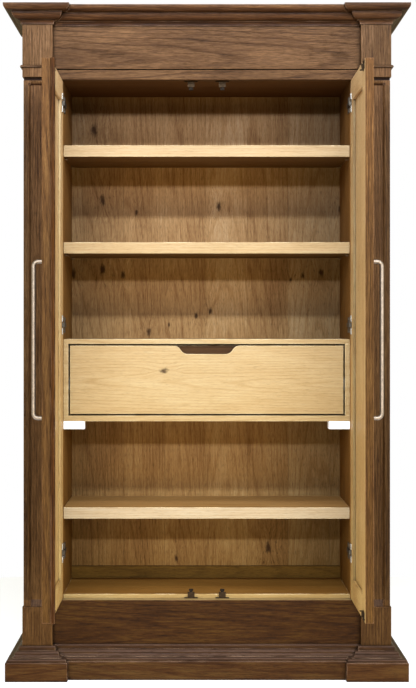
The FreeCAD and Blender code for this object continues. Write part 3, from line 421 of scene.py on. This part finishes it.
# Shelf undersides darkened: painted shade
SHELF_UNDER_SHADE = [(61, 35, 9), (88, 60, 26), (106, 79, 41)]
LINING = [(81, 47, 13), (114, 78, 34), (137, 101, 52)]
# Floor board of the bottom bay, darker than the shelves as painted shade
FLOOR_BOARD_SHADE = [(87, 51, 15), (124, 85, 38), (147, 108, 56)]
# Pale bands along edges: part wear and part painted highlight; on the mouldings a painted
# highlight
EDGE_WEAR_AND_HIGHLIGHT = (122, 88, 60)
MOULDING_EDGE_HIGHLIGHT = (142, 114, 92)
PALE_EDGE_WEAR_AND_HIGHLIGHT = (236, 212, 168)
KNOT = (44, 24, 10)

# How wide the pale band along an edge runs, part wear and part painted highlight, and how far
# painted shade reaches out of a corner
EDGE_BAND_RADIUS = 0.004
CORNER_SHADE_REACH = 0.016

# Factors for low wood and for high wood, painted light: low down the wood is darker and more
# golden, high up paler and cooler
HEIGHT_LIGHT_TINTS = ((0.9, 0.87, 0.7, 1.0), (1.1, 1.14, 1.52, 1.0))
BACK_TINTS = ((0.7, 0.67, 0.5, 1.0), HEIGHT_LIGHT_TINTS[1])
POST_TINTS = ((0.72, 0.7, 0.55, 1.0), (1.21, 1.27, 1.67, 1.0))

# Stretches over which painted light and shade fade in toward the left end, the right end and the
# top
SHADE_LEFT = (-0.47, -0.24)
SHADE_RIGHT = (0.1, 0.45)
SHADE_TOP = (1.8, 1.88)
# Factors at the left end, at the right end and at the top, next to 1 in the middle: below 1 is
# painted shade, above 1 painted light
BACK_SHADE = (0.66, 0.56, 0.66)
LINING_SHADE = (1.0, 1.0, 0.5)
POST_SHADE = (1.1, 0.93, 1.0)
BLOCK_SHADE = (1.12, 0.87, 1.0)
RIGHT_SHADE = (1.0, 0.87, 1.0)
PLINTH_SHADE = (1.17, 1.17, 1.0)
# How the outside of the doors grows paler with height, as painted light: two heights and the
# factors there
DOOR_LIFT = (1.25, 1.78, 0.88, 1.35)

# Colours of the metals and the plastics
HANDLE = (150, 134, 118)
HINGE = (176, 172, 164)
HINGE_ARM = (84, 78, 70)
RUNNER = (96, 95, 92)
CATCH = (54, 42, 30)
SCREW_BRIGHT = (132, 127, 118)
SCREW_DULL = (74, 66, 58)
PIN_NYLON = (92, 66, 36)
ROLLER = (26, 19, 12)
WHITE_BLOCK = (244, 243, 240)
FLOOR_TONES = ((206, 208, 219), (200, 202, 212))

# Knots on the back boards, as (height, x, radius)
BACK_KNOTS = [
    (1.788, -0.383, 0.011),
    (1.549, -0.355, 0.009),
    (1.528, 0.044, 0.008),
    (1.507, -0.238, 0.005),
    (1.312, -0.355, 0.009),
    (1.297, -0.455, 0.009),
    (1.294, -0.285, 0.007),
    (1.301, 0.395, 0.008),
    (1.291, 0.333, 0.006),
    (1.276, 0.291, 0.004),
    (1.171, 0.015, 0.006),
    (1.154, -0.033, 0.005),
    (1.097, -0.196, 0.007),
    (1.122, -0.127, 0.004),
    (1.517, 0.461, 0.007),
    (0.323, -0.101, 0.006),
    (0.358, 0.214, 0.010),
]
# The knot on the drawer's front, as (x, height, radius)
DRAWER_KNOTS = [(-0.138, 0.974, 0.007)]


def darker(colour, factor):
    return [factor * part for part in colour]


def metal(name, colour, roughness, brushed, axis, speckle):
    """Plain metal with fine brush marks along an axis, faint handling marks and small pits."""
    nodes = Nodes(name)
    grain = grain_space(nodes, axis)
    lines = nodes.noise(grain, (40.0, 2600.0, 2600.0), 2.0)[0]
    marks = nodes.noise(grain, (120.0, 120.0, 120.0), 4.0, 0.6)[0]
    pits = nodes.noise(grain, (420.0, 420.0, 420.0), 2.0)[0]
    handled = nodes.spread(marks, 0.35, 0.65, 0.0, 0.5)
    tint = nodes.mix(handled, linear(*colour), linear(*darker(colour, 0.72)))
    rough = nodes.math("ADD", roughness, nodes.around(marks, 0.5, 0.3))
    relief = nodes.math("MULTIPLY", lines, brushed)
    relief = nodes.math("ADD", relief, nodes.math("MULTIPLY", pits, speckle))
    normal = nodes.add("Bump", {"Height": relief, "Strength": 0.3, "Distance": 0.0004}).outputs[0]
    shader = nodes.add("BsdfPrincipled", {
        "Base Color": tint,
        "Metallic": 1.0,
        "Roughness": rough,
        "Normal": normal,
    })
    return nodes.finish(shader)


def plastic(name, colour, roughness, specular=0.5):
    """Moulded plastic with a fine pebbled skin and a little dust in its tone."""
    nodes = Nodes(name)
    place = nodes.add("TexCoord").outputs["Object"]
    skin = nodes.noise(place, (900.0, 900.0, 900.0), 2.0)[0]
    dust = nodes.noise(place, (40.0, 40.0, 40.0), 4.0)[0]
    dust_and_sheen = nodes.spread(dust, 0.35, 0.7, 0.0, 0.35)
    tint = nodes.mix(dust_and_sheen, linear(*colour), linear(*darker(colour, 0.86)))
    rough = nodes.math("ADD", roughness, nodes.around(dust, 0.5, 0.2))
    normal = nodes.add("Bump", {"Height": skin, "Strength": 0.2, "Distance": 0.0003}).outputs[0]
    shader = nodes.add("BsdfPrincipled", {
        "Base Color": tint,
        "Roughness": rough,
        "Normal": normal,
        "Specular IOR Level": specular,
    })
    return nodes.finish(shader)


def dress(material, *names):
    for name in names:
        slots = NODES[name].material_slots
        if not slots:
            raise RuntimeError(f"{name} has no material slot")
        for slot in slots:
            slot.material = material


# A direction that no face looks in, for finishes and painted light and shade that fill a box and
# nothing else
NOWHERE = (0.0, 0.0, 0.0)

# Places on the posts with a tone of their own, and painted shade in the neck groove and under the
# head of the sunk field:
# (nearest x, farthest x, lowest z, highest z, colours), all between these two y
POST_YS = (-0.03, -0.009)
POST_PLACES = [
    (0.565, 0.582, 0.25, 1.881, OUTER_STILE),
    (0.488, 0.582, 1.8952, 1.9058, GROOVE_SHADE),
    (0.504, 0.566, 1.8805, 1.8868, GROOVE_SHADE),
]
# Places on the front cornice: painted shade on the moulding under its slab, and a painted
# highlight on the slab's upper rim
CORNICE_PLACES = [
    (NOWHERE, BED_MOULD_SHADE, (-0.46, -0.2, 2.04), (0.46, 0.05, 2.0835)),
    (NOWHERE, SLAB_RIM_HIGHLIGHT, (-0.6, -0.4, 2.1215), (0.6, 0.3, 2.14)),
]


def finish_carcase():
    """Stained outside of the carcase."""
    stained = {"edge_wear_and_highlight": EDGE_WEAR_AND_HIGHLIGHT, "corner_shade": 0.75, "bump": 0.5, "roughness": 0.5}
    moulded = {**stained, "edge_wear_and_highlight": MOULDING_EDGE_HIGHLIGHT, "specular": 0.08, "roughness": 0.45}
    # Faces that look up get a painted reflection
    dust_and_sheen = ((0.0, 0.0, 1.6), UPWARD_SHEEN)
    pale_top = ((0.0, 0.0, 1.0), PALE)
    places = [dust_and_sheen]
    for near, far, low, high, colours in POST_PLACES:
        for first, last in ((near, far), (-far, -near)):
            corners = ((first, POST_YS[0], low), (last, POST_YS[1], high))
            places.append((NOWHERE, colours, *corners))
    upright = {**stained, "pith": (0.12, -0.2)}
    post = oak("stained_post", STAINED_UPRIGHT, "z", tints=POST_TINTS, side_shade=POST_SHADE,
               other_sides=places, **upright)
    dress(post, "left_post", "right_post")
    base = oak("stained_upright", STAINED_UPRIGHT, "z", tints=POST_TINTS, side_shade=RIGHT_SHADE,
               **upright)
    dress(base, "base_blocks")
    block = oak("stained_block", STAINED_BLOCK, "z", side_shade=BLOCK_SHADE, **upright)
    dress(block, "frieze_blocks")
    side = oak("stained_side", STAINED_UPRIGHT, "z", pith=(0.2, -0.5), **stained)
    dress(side, "left_outer_side", "right_outer_side")
    level = oak("stained_level", STAINED, "x", pith=(1.98, -0.12), ring_depth=0.27,
                streak_depth=0.44, streak_scale=(14.0, 250.0, 250.0), **stained)
    dress(level, "frieze_board", "header_rail", "cap_board")
    apron = oak("stained_low", STAINED_LOW_SHADE, "x", pith=(0.16, -0.1), other_sides=[pale_top],
                **stained)
    dress(apron, "apron_rail")

    top = {**moulded, "pith": (1.9, -0.3), "side_shade": RIGHT_SHADE}
    dress(oak("stained_mitred", CORNICE, "mitred", **top), "left_cornice", "right_cornice")
    dress(oak("stained_bead", STAINED, "mitred", **top), "neck_beads")
    run = oak("stained_run", CORNICE, "x", pith=(1.9, -0.2), other_sides=CORNICE_PLACES, **moulded)
    dress(run, "front_cornice")
    low = {**moulded, "other_sides": [dust_and_sheen], "streak_depth": 0.35, "fibre_depth": 0.3}
    low_wrapped = oak("stained_mitred_low", STAINED_LOW_SHADE, "mitred", pith=(0.1, -0.3), **low)
    dress(low_wrapped, "left_base_moulding", "right_base_moulding")
    low_run = oak("stained_run_low", STAINED_LOW_SHADE, "x", pith=(0.0, -0.2), **low)
    dress(low_run, "front_base_moulding")
    lowest = {**low, "specular": 0.04, "streak_depth": 0.5}
    plinth = oak("plinth_mitred", PLINTH, "mitred", pith=(0.1, -0.3), side_shade=PLINTH_SHADE,
                 **lowest)
    dress(plinth, "left_plinth", "right_plinth")
    dress(oak("plinth_run", PLINTH, "x", pith=(0.0, -0.2), **lowest), "front_plinth")


def finish_doors():
    """Doors: stained outside and round the edges, pale inside."""
    for side, inward in (("left", 1.0), ("right", -1.0)):
        low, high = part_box(f"{side}_door_stiles")
        face_x = high[0] if side == "left" else low[0]
        first, last = sorted((face_x + REACH * inward, face_x - DOOR_SKIN * inward))
        bottom, top = low[2] + SKIN_MARGIN, high[2] - SKIN_MARGIN
        inner_low = (first, low[1] + SKIN_MARGIN, bottom)
        inner_high = (last, high[1] - SKIN_MARGIN, top)
        pale = ((inward, 0.0, 0.0), PALE_DOOR, inner_low, inner_high)
        step_low = (first, PANEL_EDGE - REACH, bottom)
        step_high = (last, PANEL_EDGE + REACH, top)
        step = (NOWHERE, PANEL_STEP_LIT_AND_SHADED[side], step_low, step_high)
        stained = {"edge_wear_and_highlight": EDGE_WEAR_AND_HIGHLIGHT, "corner_shade": 0.5, "bump": 0.4, "roughness": 0.48,
                   "lift": DOOR_LIFT, "other_sides": [pale, step]}
        near_pith = 0.35 * inward
        far_pith = 0.5 * inward
        stiles = oak(f"{side}_door_upright", DOOR_EDGE, "z", pith=(-0.2, near_pith), **stained)
        dress(stiles, f"{side}_door_stiles")
        rails = oak(f"{side}_door_rail", DOOR_EDGE, "y", pith=(0.3, near_pith), **stained)
        dress(rails, f"{side}_door_rails")
        panel = oak(f"{side}_door_panel_oak", DOOR_EDGE, "z", pith=(-0.15, far_pith), **stained)
        dress(panel, f"{side}_door_panel")
    strip = oak("strip_oak", STRIP, "z", pith=(-0.3, -0.4), edge_wear_and_highlight=EDGE_WEAR_AND_HIGHLIGHT, corner_shade=0.4, bump=0.4)
    dress(strip, "door_astragal")


def finish_inside():
    """Pale inside: knotty back, shelves, drawer and its case."""
    back = {"bump": 0.2, "roughness": 0.6, "ring_width": 0.006, "ring_depth": 0.16,
            "streak_depth": 0.4, "streak_scale": (7.0, 260.0, 260.0), "blotch_depth": 0.35,
            "fibre_depth": 0.45}
    knotty = oak("knotty_back", KNOTTY, "z", pith=(0.0, 0.36), board_width=0.1415,
                 board_depth=0.3, tints=BACK_TINTS, side_shade=BACK_SHADE, knot_places=BACK_KNOTS,
                 **back)
    dress(knotty, "back_boards")
    lining = oak("lining_oak", LINING, "z", pith=(0.2, 0.3), side_shade=LINING_SHADE, **back)
    dress(lining, "left_side_lining", "right_side_lining")
    dress(oak("cleat_oak", CLEAT, "x", pith=(0.28, 0.3), **back), "back_cleat")

    pale = {"bump": 0.15, "roughness": 0.5, "pore_depth": 0.15, "ring_depth": 0.2,
            "streak_depth": 0.35, "blotch_depth": 0.3, "fibre_depth": 0.25, "edge_wear_and_highlight": PALE_EDGE_WEAR_AND_HIGHLIGHT}
    shelf = {**pale, "pith": (0.3, 0.1)}
    front = ((0.0, -1.0, 0.0), PALE)
    low_front = ((0.0, -1.0, 0.0), PALE_LOW)
    # Faces that look down get painted shade
    under = ((0.0, 0.0, -1.0), SHELF_UNDER_SHADE)
    level = oak("shelf_oak", SHELF_TOP, "x", other_sides=[front, under], **shelf)
    dress(level, "upper_shelf", "middle_shelf")
    low_level = oak("low_shelf_oak", SHELF_TOP, "x", other_sides=[low_front, under], **shelf)
    dress(low_level, "lower_shelf")
    dress(oak("floor_oak", FLOOR_BOARD_SHADE, "x", other_sides=[front], **shelf), "floor_board")
    dress(oak("ceiling_oak", CEILING_SHADE, "x", pith=(1.7, 0.1), **back), "ceiling_board")
    case = oak("pale_case", PALE, "x", pith=(1.0, -0.2), **pale)
    dress(case, "case_top", "case_bottom", "case_sides")
    drawer = oak("drawer_front_oak", PALE, "x", pith=(0.95, 0.1), knot_places=DRAWER_KNOTS, **pale)
    dress(drawer, "drawer_front")
    low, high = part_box("drawer_walls")
    notch_low = (low[0] - REACH, low[1] - REACH, low[2])
    notch_high = (high[0] + REACH, low[1] + REACH, high[2] + REACH)
    behind_notch = (NOWHERE, NOTCH, notch_low, notch_high)
    box = oak("drawer_box_wood", DRAWER_BOX, "mitred", pith=(0.9, 0.3),
              other_sides=[behind_notch], **pale)
    dress(box, "drawer_walls", "drawer_bottom")
    dress(plastic("white_block", WHITE_BLOCK, 0.55), "case_blocks")


def finish_hardware():
    """Handles, hinges, runners and catches."""
    handle = metal("handle_metal", HANDLE, 0.52, brushed=0.4, axis="z", speckle=2.0)
    dress(handle, "left_handle", "right_handle")
    hinge = metal("hinge_steel", HINGE, 0.5, brushed=0.5, axis="y", speckle=0.3)
    dress(hinge, "left_hinges", "right_hinges")
    arm = metal("hinge_arm_steel", HINGE_ARM, 0.5, brushed=0.5, axis="y", speckle=0.5)
    dress(arm, "hinge_arms")
    dress(plastic("pin_nylon", PIN_NYLON, 0.5), "shelf_pins")
    runner = metal("runner_steel", RUNNER, 0.42, brushed=0.8, axis="y", speckle=0.3)
    dress(runner, "runner_rails", "runner_middles", "runner_slides")
    catch = metal("catch_steel", CATCH, 0.6, brushed=0.5, axis="x", speckle=0.5)
    dress(catch, "catch_cases", "left_strikes", "right_strikes")
    wheel = plastic("roller_plastic", ROLLER, 0.75, specular=0.08)
    dress(wheel, "bottom_left_roller", "bottom_right_roller", "top_left_roller",
          "top_right_roller")


def screw_head(shape, at, axis, height):
    """Adds a screw head to a mesh being built: a low dome with a cross-shaped socket. It sits at a
    place and faces along an axis."""
    turn = Vector(axis).to_track_quat("Z", "Y").to_matrix().to_4x4()
    made = []
    loops = []
    for share, rise in SCREW_DOME:
        reach = SCREW_RADIUS * share
        loop = []
        for i in range(SCREW_SIDES):
            angle = 2 * math.pi * i / SCREW_SIDES
            point = (reach * math.cos(angle), reach * math.sin(angle), height * rise)
            loop.append(shape.verts.new(point))
        loops.append(loop)
        made += loop
    for lower, upper in zip(loops, loops[1:]):
        for i in range(SCREW_SIDES):
            j = (i + 1) % SCREW_SIDES
            shape.faces.new((lower[i], lower[j], upper[j], upper[i]))
    shape.faces.new(list(reversed(loops[0])))

    long, thin = SCREW_RADIUS * SOCKET_LONG, SCREW_RADIUS * SOCKET_THIN
    cross = [
        (thin, thin), (thin, long), (-thin, long), (-thin, thin), (-long, thin), (-long, -thin),
        (-thin, -thin), (-thin, -long), (thin, -long), (thin, -thin), (long, -thin), (long, thin),
    ]
    rim = [shape.verts.new((x, y, height)) for x, y in cross]
    sunk = [shape.verts.new((x, y, height * SOCKET_FLOOR)) for x, y in cross]
    made += rim + sunk
    for i in range(len(cross)):
        j = (i + 1) % len(cross)
        shape.faces.new((rim[i], rim[j], sunk[j], sunk[i]))
    shape.faces.new(list(reversed(sunk)))
    edges = []
    for loop in (loops[-1], rim):
        for start, end in zip(loop, loop[1:] + loop[:1]):
            edges.append(shape.edges.get((start, end)))
    bmesh.ops.triangle_fill(shape, edges=edges, use_beauty=True)
    bmesh.ops.transform(shape, matrix=Matrix.Translation(at) @ turn, verts=made)


def add_screws(name, body, material, places, height=SCREW_HEIGHT):
    """One piece made of screw heads, each (place, axis)."""
    shape = bmesh.new()
    for at, axis in places:
        screw_head(shape, at, axis, height)
    bmesh.ops.recalc_face_normals(shape, faces=shape.faces)
    mesh = bpy.data.meshes.new(name)
    shape.to_mesh(mesh)
    shape.free()
    piece = bpy.data.objects.new(name, mesh)
    bpy.context.scene.collection.objects.link(piece)
    mesh.materials.append(material)
    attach(piece, body)


def make_screws():
    """Screws of the hinge flanges, the wall plates, the catches and their strikes."""
    bright = metal("screw_steel", SCREW_BRIGHT, 0.5, brushed=0.2, axis="z", speckle=0.3)
    dull = metal("screw_dull", SCREW_DULL, 0.5, brushed=0.2, axis="z", speckle=0.4)
    wall = []
    catch = []
    for side, away in (("left", -1), ("right", 1)):
        body = f"{side}_door"
        inward = (-away, 0, 0)
        flange = []
        for middle in HINGE_HEIGHTS:
            for up in (-1, 1):
                flange.append(((FLANGE_X * away, FLANGE_Y, middle + FLANGE_STEP * up), inward))
                place = (WALL_PLATE_X * away, WALL_PLATE_Y, middle + WALL_PLATE_STEP * up)
                wall.append((place, inward))
        add_screws(f"{side}_hinge_screws", body, bright, flange, FLAT_HEAD)
        strike = []
        low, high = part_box(f"{side}_strikes")
        y = (low[1] + high[1]) / 2
        for z in (low[2] + STRIKE_INSET, high[2] - STRIKE_INSET):
            for step in (-STRIKE_STEP, STRIKE_STEP):
                strike.append(((STRIKE_X * away, y + step, z), inward))
        add_screws(f"{side}_strike_screws", body, dull, strike)
        low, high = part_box("catch_cases")
        y = (low[1] + high[1]) / 2
        for x in CATCH_XS:
            catch.append(((x * away, y, low[2] + CATCH_INSET), (0, 0, 1)))
            catch.append(((x * away, y, high[2] - CATCH_INSET), (0, 0, -1)))
    add_screws("wall_plate_screws", "carcase", bright, wall)
    add_screws("catch_screws", "carcase", dull, catch)


def make_light(name, place, target, power, length, width):
    light = bpy.data.lights.new(name, "AREA")
    light.shape = "RECTANGLE"
    light.size = length
    light.size_y = width
    light.energy = power
    thing = bpy.data.objects.new(name, light)
    thing.location = place
    thing.rotation_euler = (Vector(target) - Vector(place)).to_track_quat("-Z", "Y").to_euler()
    bpy.context.scene.collection.objects.link(thing)
    return light


def make_lights():
    for name, (place, target, power, length, width) in LAMPS.items():
        light = make_light(name, place, target, power, length, width)
        light.color = LAMP_COLOURS.get(name, WHITE[:3])
    x, y, z = SIDE_PANEL_PLACE
    size = (SIDE_PANEL_SIZE, SIDE_PANEL_SIZE)
    for side, away, power in (("left", -1, LEFT_PANEL_POWER), ("right", 1, RIGHT_PANEL_POWER)):
        make_light(f"{side}_panel", (x * away, y, z), SIDE_PANEL_TARGET, power, *size)


def make_room():
    """An even pale room, plain white behind the object."""
    world = bpy.data.worlds.new("room")
    bpy.context.scene.world = world
    world.use_nodes = True
    tree = world.node_tree
    tree.nodes.clear()
    seen = tree.nodes.new("ShaderNodeLightPath").outputs["Is Camera Ray"]
    strength = tree.nodes.new("ShaderNodeMapRange")
    strength.inputs["To Min"].default_value = ROOM_LIGHT
    strength.inputs["To Max"].default_value = BACKGROUND
    tree.links.new(seen, strength.inputs["Value"])
    tint = tree.nodes.new("ShaderNodeMix")
    tint.data_type = "RGBA"
    tint.inputs[COLOUR_A].default_value = ROOM_COLOUR
    tint.inputs[COLOUR_B].default_value = WHITE
    tree.links.new(seen, tint.inputs[0])
    background = tree.nodes.new("ShaderNodeBackground")
    tree.links.new(tint.outputs[COLOUR_OUT], background.inputs["Color"])
    tree.links.new(strength.outputs[0], background.inputs["Strength"])
    output = tree.nodes.new("ShaderNodeOutputWorld")
    tree.links.new(background.outputs[0], output.inputs[0])


def make_floor():
    """A plain pale floor, round, under the piece."""
    mesh = bpy.data.meshes.new("floor")
    shape = bmesh.new()
    bmesh.ops.create_circle(shape, cap_ends=True, segments=128, radius=FLOOR_RADIUS)
    shape.to_mesh(mesh)
    shape.free()
    floor = bpy.data.objects.new("floor", mesh)
    bpy.context.scene.collection.objects.link(floor)
    nodes = Nodes("floor_paint")
    place = nodes.add("TexCoord").outputs["Object"]
    cloudy = nodes.noise(place, (2.0, 2.0, 2.0), 3.0)[0]
    tint = nodes.mix(cloudy, *[linear(*tone) for tone in FLOOR_TONES])
    shader = nodes.add("BsdfPrincipled", {
        "Base Color": tint,
        "Roughness": 0.7,
        "Emission Color": WHITE,
        "Emission Strength": FLOOR_GLOW,
    })
    mesh.materials.append(nodes.finish(shader))


def make_camera():
    camera = bpy.data.cameras.new("camera")
    longest = max(PHOTO_WIDTH, PHOTO_HEIGHT)
    camera.sensor_width = SENSOR_WIDTH
    camera.lens = FOCAL_PIXELS / longest * SENSOR_WIDTH
    camera.shift_x = (PHOTO_WIDTH / 2 - CENTRE_X) / longest
    camera.shift_y = (CENTRE_Y - PHOTO_HEIGHT / 2) / longest
    thing = bpy.data.objects.new("camera", camera)
    thing.location = CAMERA_PLACE
    thing.rotation_euler = (math.radians(90), 0, 0)
    bpy.context.scene.collection.objects.link(thing)
    bpy.context.scene.camera = thing


finish_carcase()
finish_doors()
finish_inside()
finish_hardware()
make_screws()
make_room()
make_floor()
make_lights()
make_camera()
bpy.context.scene.view_settings.view_transform = "Standard"
